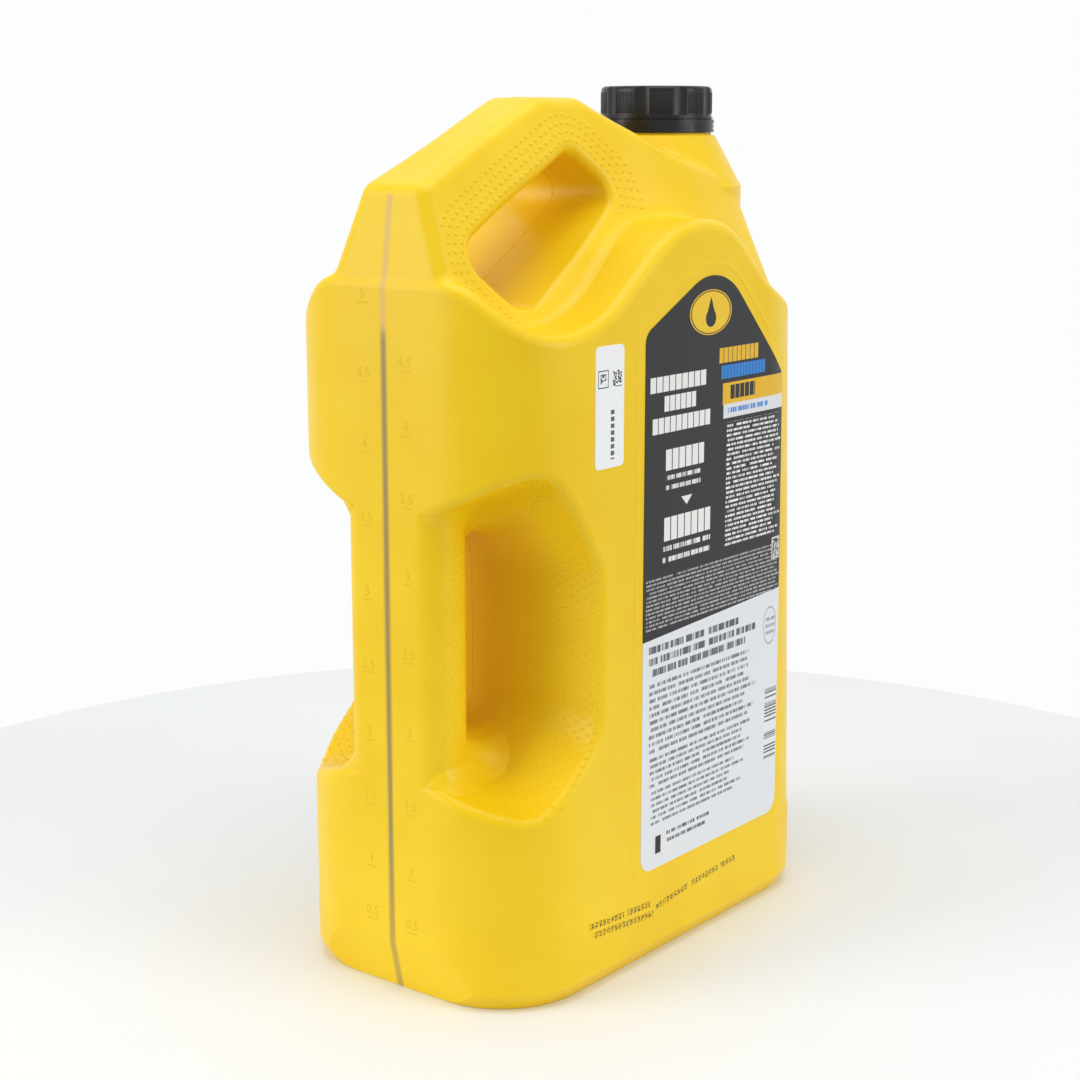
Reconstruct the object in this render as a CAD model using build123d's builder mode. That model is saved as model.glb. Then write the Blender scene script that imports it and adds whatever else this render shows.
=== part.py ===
"""A motor oil jug: a blow-moulded bottle with two hand holes and a screw cap.

Millimetres. The origin is in the middle of the base, on the ground. X runs across the width, from
the narrow handle end (-X) to the end under the cap (+X). Y runs through the depth, Z up.
The jug is the same on both broad faces.
"""
from build123d import *
import os

os.makedirs("parts", exist_ok=True)

# Body
body_width = 196.0
body_depth = 112.3
corner_radius = 35.7
wall = 1.5
base_wall = 2.0
base_push_up = 1.5
base_bevel = 4.0
base_bevel_height = 6.0
end_facet = 4.0
end_facet_height = 18.0
band_top = 30.0
band_step = 1.0
band_step_height = 4.0
end_lean = 2.0
corner_growth = 11.0
edge_soft = 4.0
cut_margin = 12.0
stack_margin = 10.0

# Ledge round the top of the body, as heights along the width
ledge_end = 254.0
ledge_dive = -0.5
ledge_valley = 230.5
ledge_valley_x = -72.0
ledge_peak = 264.5
ledge_peak_x = 10.0
ledge_right = 228.0
ledge_fall_x = 46.0
ledge_fall = 244.5
ledge_right_fall = 0.1

# Upper block, which holds the top handle and carries the neck
block_left = -94.8
block_right = 92.3
block_lean = 0.12
block_right_lean = 0.03
flank_slope = 0.38
flank_level = 265.0
flank_foot = 205.0
flank_top = 309.0
flank_left_turn = 0.12
flank_right_turn = -0.2
nose_length = 6.0
nose_share = 0.55
nose_half = 4.0
foot_margin = 1.0
crest = 306.0
crest_left = -30.0
crest_right = -8.0
crest_round = 12.0
handle_end = 276.5
neck_slope_x = 30.0
neck_slope = 286.0
shoulder_x = 85.0
shoulder = 271.5
shoulder_fall = 1.4
block_soft = 6.0
crease_soft = 6.0

# Label on each broad face: corners as (X, Z), from the lower left one round to the right
label_points = ((-28.5, 34.5), (-28.5, 227.3), (17.0, 250.5), (61.5, 205.6), (61.5, 34.5))
label_thick = 0.2
label_radius = 6.0
label_apex_radius = 25.0

# Small sticker beside the back label
sticker_width = 16.0
sticker_height = 41.0
sticker_x = -49.0
sticker_z = 205.0
sticker_radius = 2.0

# Neck and cone
neck_x = 56.4
overlap = 1.0
neck_radius = 17.7
neck_wall = 2.2
neck_rim = 308.2
cone_top = 292.8
cone_top_radius = 22.3
cone_foot_radius = 32.5
cone_waist = 274.0
cone_foot = 240.0
bead_radius = 18.8
bead_bottom = 297.6
bead_height = 1.4

# Closure
cap_top = 310.8
cap_top_wall = 1.4
cap_radius = 20.9
cap_bottom = 298.9
cap_bore_radius = 19.4
cap_edge_soft = 1.6
cap_foot_radius = 21.4
flute_count = 9
flute_depth = 0.7
flute_radius = 8.0
flute_foot = 1.2
band_radius = 21.9
band_gap = 0.3
band_bottom = 293.9
band_bore_radius = 19.2
lug_radius = 18.2
lug_height = 1.2
lug_seat = 0.5
groove_depth = 0.35
groove_height = 0.6
groove_rises = (1.2, 2.6)
liner_radius = 18.8

# Fill
fill_level = 230.0
fill_gap = 0.3

# Half widths of the upper block at flank_level, along the width
flank_points = ((block_left, 18.5), (-60.0, 22.0), (-24.0, 28.0), (0.0, 30.0), (24.0, 37.0),
                (50.0, 36.0), (76.0, 32.0))

# Corners of the hand holes and of the hollows round them, as (X, Z)
top_hole = ((-66.0, 237.0), (-58.0, 237.0), (-3.5, 272.5), (-21.0, 288.0), (-78.5, 258.5), (-81.0, 251.0))
side_hole = ((-120.0, 77.0), (-68.0, 77.0), (-54.0, 98.0), (-54.0, 150.0), (-67.0, 171.0), (-120.0, 171.0))
side_hollow = ((-120.0, 64.0), (-83.0, 64.0), (-52.0, 90.0), (-52.0, 149.0), (-79.0, 190.0), (-120.0, 190.0))
top_hole_soft = 7.0
side_hole_soft = 13.0
side_hollow_soft = 20.0
side_hollow_edge = 60.0
bar_width = 21.0
bar_depth = 43.0
bar_soft = 9.0
bar_seat = 8.0
hole_edge_soft = 3.5


def face_shape(points, soft, grow=0.0):
    """A rounded polygon in the XZ plane, grown by a margin."""
    with BuildSketch(Plane.XZ) as shape:
        with BuildLine():
            Polyline(*points, close=True)
        make_face()
        fillet(shape.vertices(), soft)
        if grow:
            offset(amount=grow)
    return shape.sketch


def across(shape, mode=Mode.ADD):
    """Run a shape of the XZ plane right through the depth."""
    extrude(shape.moved(Location((0, body_depth, 0))), amount=2 * body_depth, mode=mode)


def plan_shape(skin):
    """Plan of the lower body."""
    with BuildSketch() as shape:
        RectangleRounded(body_width - 2 * skin, body_depth - 2 * skin, corner_radius - skin)
    return shape.sketch


def upper_plan(height, skin):
    """Plan of the body over its foot band. The end under the cap leans in, and its corners grow."""
    rise = (height - band_top) / (ledge_peak - band_top)
    left = skin - body_width / 2
    right = body_width / 2 - band_step - end_lean * rise - skin
    half = body_depth / 2 - skin
    with BuildSketch(Plane.XY.offset(height)) as shape:
        with BuildLine():
            Polyline((left, -half), (right, -half), (right, half), (left, half), close=True)
        make_face()
        fillet(shape.vertices().group_by(Axis.X)[0], corner_radius - skin)
        right_corners = shape.vertices().filter_by(lambda v: v.X > right - 1.0)
        fillet(right_corners, corner_radius + corner_growth * rise - skin)
    return shape.sketch


def upper_stack(low, high, skin):
    """The upper body's sides between two heights."""
    with BuildPart() as stack:
        loft([upper_plan(low, skin), upper_plan(high, skin)], ruled=True)
    return stack.part


def ledge_shape(skin):
    """Everything under the ledge round the top of the body, as a region of the XZ plane."""
    side = body_width / 2
    outside = side + cut_margin
    foot = side - end_facet - skin
    facet = (outside - foot) * end_facet_height / end_facet
    with BuildSketch(Plane.XZ) as shape:
        with BuildLine():
            left = Line((-outside, ledge_end - skin), (-side, ledge_end - skin))
            valley = (ledge_valley_x, ledge_valley - skin)
            peak = (ledge_peak_x, ledge_peak - skin)
            end = (side, ledge_right - skin)
            Spline(left @ 1, valley, tangents=((1, ledge_dive), (1, 0)))
            Spline(valley, peak, tangents=((1, 0), (1, 0)))
            Spline(peak, (ledge_fall_x, ledge_fall - skin), end, tangents=((1, 0), (1, -ledge_right_fall)))
            right = Line(end, (outside, ledge_right - skin))
            Polyline(right @ 1, (outside, facet), (foot, 0), (-foot, 0), (-outside, facet), left @ 0)
        make_face()
    return shape.sketch


def flank_shape(height, skin):
    """Plan of the upper block at one height. Its sides lean out on the way down."""
    drop = flank_level - height
    left = block_left - block_lean * drop + skin
    right = block_right + block_right_lean * drop - skin
    points = [(x, half + flank_slope * drop - skin) for x, half in flank_points]
    points[0] = (left, points[0][1])
    corner = points[-1]
    with BuildSketch(Plane.XY.offset(height)) as shape:
        with BuildLine():
            Line((left, 0), points[0])
            Spline(*points, tangents=((1, flank_left_turn), (1, flank_right_turn)))
            nose = (right - nose_length, corner[1] * nose_share + nose_half)
            Spline(corner, nose, (right, 0), tangents=((1, flank_right_turn), (0, -1)))
            mirror(about=Plane.XZ)
        make_face()
    return shape.sketch


def crest_shape(skin):
    """Everything under the top of the upper block, as a region of the XZ plane."""
    far = body_width
    climb = (crest - handle_end) / (crest_left - block_left)
    with BuildSketch(Plane.XZ) as shape:
        with BuildLine():
            Polyline(
                (-far, 0),
                (-far, handle_end - skin - climb * (far + block_left)),
                (crest_left, crest - skin),
                (crest_right, crest - skin),
                (neck_slope_x, neck_slope - skin),
                (shoulder_x - skin, shoulder - skin),
                (far, shoulder - skin - shoulder_fall * (far - shoulder_x)),
                (far, 0),
                close=True,
            )
        make_face()
        fillet(shape.vertices().filter_by(lambda v: abs(v.X) < body_width / 2), crest_round)
    return shape.sketch


def step_form(skin):
    """The short slope between the foot band and the leaning sides."""
    low = plan_shape(skin).moved(Location((0, 0, band_top)))
    with BuildPart() as step:
        loft([low, upper_plan(band_top + band_step_height, skin)], ruled=True)
    return step.part


def body_form(skin):
    """The lower body: a rounded box, bevelled at its foot and cut along the ledge."""
    floor = skin and base_wall + base_push_up
    with BuildPart() as body:
        with BuildSketch(Plane.XY.offset(floor)):
            add(plan_shape(skin))
        extrude(amount=band_top - floor)
        chamfer(body.edges().group_by(Axis.Z)[0], base_bevel_height, base_bevel)
        add(step_form(skin))
        add(upper_stack(band_top + band_step_height, ledge_peak + stack_margin, skin))
        across(ledge_shape(skin), Mode.INTERSECT)
        ridge = body.edges().filter_by(lambda e: e.bounding_box().min.Z > ledge_right - edge_soft - skin)
        fillet(ridge, edge_soft - skin)
    return body.part


def block_form(skin):
    """The upper block: flanks that lean in, cut along the crest."""
    with BuildPart() as block:
        loft([flank_shape(flank_foot, skin), flank_shape(flank_top, skin)], ruled=True)
        across(crest_shape(skin), Mode.INTERSECT)
        rim = block.edges().filter_by(lambda e: e.center().Z > flank_foot + 1.0)
        fillet(rim.filter_by(GeomType.LINE, reverse=True), block_soft - skin)
        add(upper_stack(flank_foot, flank_top, skin + foot_margin), mode=Mode.INTERSECT)
    return block.part


def cone_form(skin):
    """The cone under the neck."""
    with BuildPart() as cone:
        with BuildSketch(Plane.XZ):
            with BuildLine():
                Polyline(
                    (neck_x, cone_foot),
                    (neck_x + cone_foot_radius - skin, cone_foot),
                    (neck_x + cone_foot_radius - skin, cone_waist - skin),
                    (neck_x + cone_top_radius - skin, cone_top - skin),
                    (neck_x, cone_top - skin),
                    close=True,
                )
            make_face()
        revolve(axis=Axis((neck_x, 0, 0), (0, 0, 1)))
    return cone.part


def top_hole_form(skin):
    """The upper hand hole, straight through the depth."""
    with BuildPart() as cut:
        across(face_shape(top_hole, top_hole_soft, skin))
    return cut.part


def side_hole_form(skin):
    """The side hand hole, out to the narrow end, with a hollow round it on both faces."""
    with BuildPart() as cut:
        inner = face_shape(side_hole, side_hole_soft, skin)
        mouth = face_shape(side_hollow, side_hollow_soft, skin)
        middle = bar_depth / 2 - skin
        extrude(inner.moved(Location((0, middle, 0))), amount=2 * middle)
        for side in (1, -1):
            near = inner.moved(Location((0, side * middle, 0)))
            far = mouth.moved(Location((0, side * side_hollow_edge, 0)))
            loft([near, far], ruled=True)
    return cut.part


def bar_form(skin):
    """The upright grip between the side hole and the narrow end."""
    low = side_hole[0][1] - bar_seat
    high = side_hole[-1][1] + bar_seat
    middle = Plane.XY.offset(low).move(Location(((bar_width - body_width) / 2, 0, 0)))
    with BuildPart() as bar:
        with BuildSketch(middle):
            RectangleRounded(bar_width - 2 * skin, bar_depth - 2 * skin, bar_soft - skin)
        extrude(amount=high - low)
    return bar.part


def tub_form(skin):
    """The lower body with its side hole and grip bar."""
    with BuildPart() as tub:
        add(body_form(skin))
        add(side_hole_form(skin), mode=Mode.SUBTRACT)
        mouth = tub.edges(Select.NEW).filter_by(lambda e: abs(e.center().Y) > bar_depth / 2 - skin + 1.0)
        fillet(mouth, hole_edge_soft - skin)
        add(bar_form(skin))
    return tub.part


def jug_form(skin):
    """The jug's form without its neck, with every face moved in by skin."""
    with BuildPart() as form:
        add(tub_form(skin))
        add(block_form(skin))
        fillet(form.edges(Select.NEW), crease_soft + skin)
        add(cone_form(skin))
        fillet(form.edges(Select.NEW), crease_soft + skin)
        add(top_hole_form(skin), mode=Mode.SUBTRACT)
        fillet(form.edges(Select.NEW), hole_edge_soft - skin)
    return form.part


def disc(radius, low, high, mode=Mode.ADD):
    """A cylinder on the neck's axis between two heights."""
    with Locations((neck_x, 0, low)):
        Cylinder(radius, high - low, align=(Align.CENTER, Align.CENTER, Align.MIN), mode=mode)


def label_form():
    """The back label: a thin sheet that follows the side of the upper body."""
    with BuildSketch(Plane.XZ) as outline:
        with BuildLine():
            Polyline(*label_points, close=True)
        make_face()
        fillet(outline.vertices().sort_by(Axis.Y)[-1], label_apex_radius)
        fillet(outline.vertices().filter_by(lambda v: v.Y < ledge_valley), label_radius)
    low = band_top + band_step_height
    with BuildPart() as sheet:
        add(upper_stack(low, ledge_peak, -label_thick))
        extrude(outline.sketch.moved(Location((0, -1.0, 0))), amount=body_depth, mode=Mode.INTERSECT)
        add(upper_stack(low, ledge_peak, 0.0), mode=Mode.SUBTRACT)
    return sheet.part


with BuildPart() as jug:
    add(jug_form(0.0))
    disc(neck_radius, cone_top - overlap, neck_rim)
    disc(bead_radius, bead_bottom, bead_bottom + bead_height)
    add(jug_form(wall), mode=Mode.SUBTRACT)
    disc(neck_radius - neck_wall, cone_foot, neck_rim + overlap, Mode.SUBTRACT)
jug.part.label = "jug"
export_step(jug.part, "parts/jug.step")

with BuildPart() as oil:
    add(tub_form(wall + fill_gap))
    split(bisect_by=Plane.XY.offset(fill_level), keep=Keep.BOTTOM)
oil.part.label = "oil"
export_step(oil.part, "parts/oil.step")

with BuildPart() as cap:
    disc(cap_radius, cap_bottom, cap_top)
    fillet(cap.edges().group_by(Axis.Z)[-1], cap_edge_soft)
    disc(cap_foot_radius, cap_bottom, cap_bottom + groove_height)
    with BuildSketch(Plane.XY.offset(cap_bottom + flute_foot)):
        with Locations((neck_x, 0)):
            with PolarLocations(cap_radius + flute_radius - flute_depth, flute_count):
                Circle(flute_radius)
    extrude(amount=cap_top - cap_bottom, mode=Mode.SUBTRACT)
    disc(cap_bore_radius, cap_bottom, cap_top - cap_top_wall, Mode.SUBTRACT)
cap.part.label = "cap"
export_step(cap.part, "parts/cap.step")

with BuildPart() as cap_liner:
    disc(liner_radius, neck_rim, cap_top - cap_top_wall)
cap_liner.part.label = "cap_liner"
export_step(cap_liner.part, "parts/cap_liner.step")

with BuildPart() as tamper_band:
    disc(band_radius, band_bottom, cap_bottom - band_gap)
    disc(band_bore_radius, band_bottom, cap_bottom - band_gap, Mode.SUBTRACT)
    with BuildSketch(Plane.XZ):
        with BuildLine():
            Polyline(
                (neck_x + lug_radius, bead_bottom),
                (neck_x + band_bore_radius + lug_seat, bead_bottom),
                (neck_x + band_bore_radius + lug_seat, bead_bottom - 2 * lug_height),
                (neck_x + lug_radius, bead_bottom - lug_height),
                close=True,
            )
        make_face()
    revolve(axis=Axis((neck_x, 0, 0), (0, 0, 1)))
    for rise in groove_rises:
        with BuildSketch(Plane.XY.offset(band_bottom + rise)):
            with Locations((neck_x, 0)):
                Circle(band_radius + overlap)
                Circle(band_radius - groove_depth, mode=Mode.SUBTRACT)
        extrude(amount=groove_height, mode=Mode.SUBTRACT)
tamper_band.part.label = "tamper_band"
export_step(tamper_band.part, "parts/tamper_band.step")

back_label = label_form()
back_label.label = "back_label"
export_step(back_label, "parts/back_label.step")

front_label = back_label.mirror(Plane.XZ)
front_label.label = "front_label"
export_step(front_label, "parts/front_label.step")

with BuildPart() as stock_sticker:
    with BuildSketch(Plane.XZ.offset(body_depth / 2)):
        with Locations((sticker_x, sticker_z)):
            RectangleRounded(sticker_width, sticker_height, sticker_radius)
    extrude(amount=label_thick)
stock_sticker.part.label = "stock_sticker"
export_step(stock_sticker.part, "parts/stock_sticker.step")
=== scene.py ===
"""Looks of the motor oil jug: satin yellow plastic, a black screw cap, printed labels and a small sticker.

X runs along the width, with the cap at +X. -Y looks out of the back face, which the photo shows. Z is up.
Lengths are in millimetres and are turned into metres by MM, unless a comment says that they are metres.
"""
import itertools
import math

import bmesh
import bpy
from mathutils import Euler, Matrix, Vector
from mathutils.bvhtree import BVHTree


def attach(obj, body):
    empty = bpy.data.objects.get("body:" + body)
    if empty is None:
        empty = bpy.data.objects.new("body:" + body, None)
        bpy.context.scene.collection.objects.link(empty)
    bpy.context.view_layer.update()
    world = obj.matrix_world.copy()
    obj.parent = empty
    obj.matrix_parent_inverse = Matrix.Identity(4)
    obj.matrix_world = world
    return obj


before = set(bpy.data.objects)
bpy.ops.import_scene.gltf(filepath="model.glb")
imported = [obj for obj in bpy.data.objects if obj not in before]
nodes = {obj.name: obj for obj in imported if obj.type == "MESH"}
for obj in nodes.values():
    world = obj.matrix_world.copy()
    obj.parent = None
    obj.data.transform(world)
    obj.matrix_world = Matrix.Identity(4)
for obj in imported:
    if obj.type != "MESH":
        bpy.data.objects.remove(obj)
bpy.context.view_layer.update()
MM = 0.001

# The jug's own places: outlines are corners (x, z) on the broad face, and softs are the radii of corners
END_X = 98.0
NECK_X = 56.4
FILL_LEVEL = 230.0
TOP_HOLE = ((-66.0, 237.0), (-58.0, 237.0), (-3.5, 272.5), (-21.0, 288.0), (-78.5, 258.5), (-81.0, 251.0))
TOP_HOLE_SOFT = 7.0
SIDE_HOLE = ((-120.0, 77.0), (-68.0, 77.0), (-54.0, 98.0), (-54.0, 150.0), (-67.0, 171.0), (-120.0, 171.0))
SIDE_HOLE_SOFT = 13.0
LABEL = ((-28.5, 34.5), (61.5, 34.5), (61.5, 205.6), (17.0, 250.5), (-28.5, 227.3))
LABEL_SOFTS = (6.0, 6.0, 6.0, 25.0, 6.0)


def colour(red, green, blue):
    """A colour of a screen, 0 to 255, as Blender's linear values."""
    def linear(value):
        value /= 255
        return value / 12.92 if value <= 0.04045 else ((value + 0.055) / 1.055) ** 2.4
    return (linear(red), linear(green), linear(blue), 1.0)


# Camera and studio, in metres

camera_data = bpy.data.cameras.new("camera")
camera_data.sensor_width = 36.0
camera_data.lens = 67.0
camera_data.clip_start = 0.01
camera_data.clip_end = 20.0
camera = bpy.data.objects.new("camera", camera_data)
camera.location = (-0.5833, -0.4473, 0.2970)
camera.rotation_euler = Euler((math.radians(78.3), 0.0, math.radians(-51.8)))
bpy.context.scene.collection.objects.link(camera)
bpy.context.scene.camera = camera
bpy.context.scene.view_settings.view_transform = "Standard"


def softbox(name, place, aim, size, power):
    """A rectangular lamp at a place, turned to a point, with its power in watts."""
    light = bpy.data.lights.new(name, "AREA")
    light.shape = "RECTANGLE"
    light.size, light.size_y = size
    light.energy = power
    lamp = bpy.data.objects.new(name, light)
    lamp.location = place
    lamp.rotation_euler = (Vector(aim) - Vector(place)).to_track_quat("-Z", "Y").to_euler()
    bpy.context.scene.collection.objects.link(lamp)


def world_light(fill_strength):
    """Even fill light, and a white backdrop for the camera and for reflections."""
    world = bpy.data.worlds.new("studio")
    bpy.context.scene.world = world
    world.use_nodes = True
    tree = world.node_tree
    tree.nodes.clear()
    rays = tree.nodes.new("ShaderNodeLightPath")
    seen = tree.nodes.new("ShaderNodeMath")
    seen.operation = "MAXIMUM"
    tree.links.new(rays.outputs["Is Camera Ray"], seen.inputs[0])
    tree.links.new(rays.outputs["Is Glossy Ray"], seen.inputs[1])
    fill = tree.nodes.new("ShaderNodeBackground")
    fill.inputs["Strength"].default_value = fill_strength
    shown = tree.nodes.new("ShaderNodeBackground")
    shown.inputs["Color"].default_value = colour(252, 253, 253)
    mix = tree.nodes.new("ShaderNodeMixShader")
    out = tree.nodes.new("ShaderNodeOutputWorld")
    tree.links.new(seen.outputs[0], mix.inputs["Fac"])
    tree.links.new(fill.outputs[0], mix.inputs[1])
    tree.links.new(shown.outputs[0], mix.inputs[2])
    tree.links.new(mix.outputs[0], out.inputs["Surface"])


softbox("left softbox", (-1.2, 0.75, 0.6), (0.0, 0.0, 0.15), (0.8, 1.2), 10.2)
softbox("right softbox", (0.35, -1.5, 0.7), (0.0, 0.0, 0.15), (0.9, 1.2), 9.1)
softbox("top softbox", (-0.1, -0.1, 1.5), (0.0, 0.0, 0.1), (1.2, 1.2), 10.2)
world_light(0.55)


# Materials

class Finish:
    """A material for one kind of surface, painted in layers.

    Its places x, y and z are in millimetres, in the object's own frame. A mask is 1 where a layer shows and
    0 elsewhere.
    """

    def __init__(self, name, base, roughness, **sockets):
        self.material = bpy.data.materials.new(name)
        self.material.use_nodes = True
        self.tree = self.material.node_tree
        self.shader = self.tree.nodes["Principled BSDF"]
        self.shader.inputs["Base Color"].default_value = base
        self.shader.inputs["Roughness"].default_value = roughness
        for socket, value in sockets.items():
            self.shader.inputs[socket].default_value = value
        self.skin = base
        self.place = self.add("ShaderNodeTexCoord").outputs["Object"]
        split = self.add("ShaderNodeSeparateXYZ", self.place)
        self.x, self.y, self.z = (self.times(axis, 1000.0) for axis in split.outputs)

    def add(self, kind, *values, **settings):
        """A new node, with its first inputs linked or set to the values."""
        node = self.tree.nodes.new(kind)
        for key, value in settings.items():
            setattr(node, key, value)
        for socket, value in zip(node.inputs, values):
            self.put(socket, value)
        return node

    def put(self, socket, value):
        """Links a socket to another one, or sets it. None leaves it as it is."""
        if isinstance(value, bpy.types.NodeSocket):
            self.tree.links.new(value, socket)
        elif value is not None:
            socket.default_value = value

    def math(self, operation, *values):
        return self.add("ShaderNodeMath", *values, operation=operation).outputs[0]

    def plus(self, value, added):
        return self.math("ADD", value, added)

    def minus(self, value, taken):
        return self.math("SUBTRACT", value, taken)

    def times(self, value, factor):
        return self.math("MULTIPLY", value, factor)

    def divided(self, value, divisor):
        return self.math("DIVIDE", value, divisor)

    def square(self, value):
        return self.math("POWER", value, 2.0)

    def fraction(self, value):
        return self.math("FRACT", value)

    def off(self, value, middle):
        """How far a value is from the middle, to either side."""
        return self.math("ABSOLUTE", self.minus(value, middle))

    def less(self, value, limit):
        return self.math("LESS_THAN", value, limit)

    def more(self, value, limit):
        return self.math("GREATER_THAN", value, limit)

    def within(self, value, low, high):
        return self.math("COMPARE", value, (low + high) / 2, (high - low) / 2)

    def both(self, *masks):
        """Where all of the masks show."""
        result = masks[0]
        for mask in masks[1:]:
            result = self.times(result, mask)
        return result

    def box(self, x0, x1, z0, z1):
        """A rectangle on the broad face."""
        return self.both(self.within(self.x, x0, x1), self.within(self.z, z0, z1))

    def oval(self, x, z, wide, high):
        """0 in the middle of an oval on the broad face, and 1 on its rim."""
        across = self.square(self.divided(self.minus(self.x, x), wide))
        along = self.square(self.divided(self.minus(self.z, z), high))
        return self.plus(across, along)

    def ramp(self, value, low, high, start=0.0, end=1.0):
        """A smooth change from start to end as value goes from low to high."""
        node = self.add("ShaderNodeMapRange", value, low, high, start, end, interpolation_type="SMOOTHSTEP")
        return node.outputs[0]

    def vector(self, x, y, z):
        return self.add("ShaderNodeCombineXYZ", x, y, z).outputs[0]

    def noise(self, scale, detail=2.0, place=None):
        node = self.add("ShaderNodeTexNoise")
        self.put(node.inputs["Vector"], place or self.place)
        node.inputs["Scale"].default_value = scale
        node.inputs["Detail"].default_value = detail
        return node.outputs[0]

    def paint(self, under, over, mask):
        """A mix of two colours. A mix node's colours are its inputs 6 and 7, and its output 2."""
        node = self.add("ShaderNodeMix", data_type="RGBA")
        self.put(node.inputs[0], mask)
        self.put(node.inputs[6], under)
        self.put(node.inputs[7], over)
        return node.outputs[2]

    def mottle(self, dark, light, mask):
        """The lowest layer: a skin that drifts between two colours."""
        self.skin = self.paint(dark, light, mask)

    def lay(self, over, mask):
        """One more layer of colour, on top of the others."""
        self.skin = self.paint(self.skin, over, mask)

    def wear_roughness(self, scale, low, high):
        self.put(self.shader.inputs["Roughness"], self.ramp(self.noise(scale, 4.0), 0.3, 0.7, low, high))

    def relief(self, height, depth, strength):
        """Fine bumps, where a height of 1 stands out by the depth."""
        node = self.add("ShaderNodeBump")
        node.inputs["Strength"].default_value = strength
        node.inputs["Distance"].default_value = depth * MM
        self.put(node.inputs["Height"], height)
        self.put(self.shader.inputs["Normal"], node.outputs[0])

    def done(self):
        self.put(self.shader.inputs["Base Color"], self.skin)
        return self.material


def jug_plastic():
    """Satin yellow polyethylene, with the view stripe down the narrow end, ink dots near the foot, and
    painted shade on the side hollow's wall.
    """
    ink = Finish("yellow jug plastic", colour(245, 205, 20), 0.36, **{"Specular IOR Level": 0.3})
    depth = ink.math("ABSOLUTE", ink.y)
    ink.mottle(colour(243, 202, 14), colour(247, 209, 28), ink.ramp(ink.noise(26.0, 3.0), 0.3, 0.7))

    # The hollow's wall behind the grip gets painted shade, a deeper amber colour, and is duller
    hollow = ink.both(ink.ramp(depth, 40.0, 24.0),
                      ink.ramp(ink.x, -70.0, -60.0), ink.ramp(ink.x, -50.0, -52.0),
                      ink.ramp(ink.z, 74.0, 84.0), ink.ramp(ink.z, 174.0, 162.0))
    # Painted shade: a deeper amber over the hollow's wall
    ink.lay(colour(240, 194, 2), hollow)

    # The view stripe: a pale edge and a dark middle, both lighter above the oil
    above = ink.ramp(ink.z, FILL_LEVEL - 3.0, FILL_LEVEL + 4.0)
    end = ink.both(ink.less(ink.x, -88.0), ink.ramp(ink.z, 275.5, 273.5))
    aside = ink.minus(depth, ink.times(ink.noise(9.0, 1.0), 0.5))
    edge = ink.both(end, ink.ramp(aside, 1.8, 0.8))
    middle = ink.both(end, ink.ramp(aside, 1.0, 0.2), ink.ramp(ink.z, 8.0, 60.0, 0.35, 1.0))
    ink.lay(ink.paint(colour(210, 178, 62), colour(236, 196, 66), above), edge)
    ink.lay(ink.paint(colour(162, 139, 74), colour(228, 188, 98), above), middle)

    ink.lay(colour(116, 92, 26), ink_dots(ink))
    worn = ink.ramp(ink.noise(60.0, 4.0), 0.3, 0.7, 0.33, 0.4)
    ink.put(ink.shader.inputs["Roughness"], ink.plus(worn, ink.times(hollow, 0.3)))
    ink.relief(ink.noise(900.0), 0.04, 0.35)
    return ink.done()


# Each line of ink dots: its ends in x, its height at the first end, and its slope
INK_LINES = ((-58.5, -38.0, 24.4, -0.09), (-56.0, -20.0, 20.6, -0.09), (-36.0, -22.0, 22.6, -0.07),
             (-19.0, 2.0, 19.2, 0.1), (4.0, 22.0, 21.4, 0.05), (24.0, 34.0, 22.5, 0.03))


def ink_dots(ink):
    """Lines of small ink-jet dots along the foot of the back face, too fine to read."""
    half_height, letter, inked = 1.15, 2.3, 0.74
    lines = 0.0
    for start, end, level, slope in INK_LINES:
        middle = ink.plus(level, ink.times(ink.minus(ink.x, start), slope))
        line = ink.both(ink.less(ink.off(ink.z, middle), half_height), ink.within(ink.x, start, end))
        lines = ink.math("MAXIMUM", lines, line)
    letters = ink.less(ink.fraction(ink.divided(ink.x, letter)), inked)
    # Noise in cells of about half a millimetre breaks the letters into dots
    cell = ink.vector(ink.times(ink.x, 1.7), 0.0, ink.times(ink.z, 1.5))
    dots = ink.more(ink.noise(1.0, 0.0, cell), 0.47)
    back = ink.less(ink.y, -50.0)
    return ink.both(lines, letters, dots, back)


def cap_plastic():
    """Black polypropylene. The top has a shallow ring and the mark of the mould's gate."""
    ink = Finish("black cap plastic", colour(12, 12, 13), 0.3, **{"Specular IOR Level": 0.32})
    ink.mottle(colour(9, 9, 10), colour(15, 15, 16), ink.ramp(ink.noise(120.0, 3.0), 0.35, 0.65))
    ink.wear_roughness(300.0, 0.24, 0.36)
    radius = ink.math("SQRT", ink.plus(ink.square(ink.minus(ink.x, NECK_X)), ink.square(ink.y)))
    top = ink.more(ink.z, 310.7)
    ring = ink.minus(1.0, ink.ramp(ink.off(radius, 16.6), 0.3, 0.8))
    gate = ink.ramp(radius, 1.8, 1.2)
    grain = ink.times(ink.noise(2500.0), 0.015)
    ink.relief(ink.plus(grain, ink.both(top, ink.math("MAXIMUM", ring, gate))), 0.25, 0.5)
    return ink.done()


def liner_foam():
    """The white foam of the wad in the cap."""
    ink = Finish("liner foam", colour(232, 232, 228), 0.75)
    ink.mottle(colour(226, 226, 220), colour(240, 240, 236), ink.noise(400.0))
    ink.relief(ink.noise(3000.0, 3.0), 0.05, 0.6)
    return ink.done()


def oil_fill():
    """The oil, as a solid colour: it is closed in by the jug."""
    ink = Finish("amber oil", colour(196, 128, 38), 0.08, IOR=1.47)
    ink.mottle(colour(190, 118, 30), colour(206, 142, 52), ink.noise(12.0))
    return ink.done()


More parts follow.
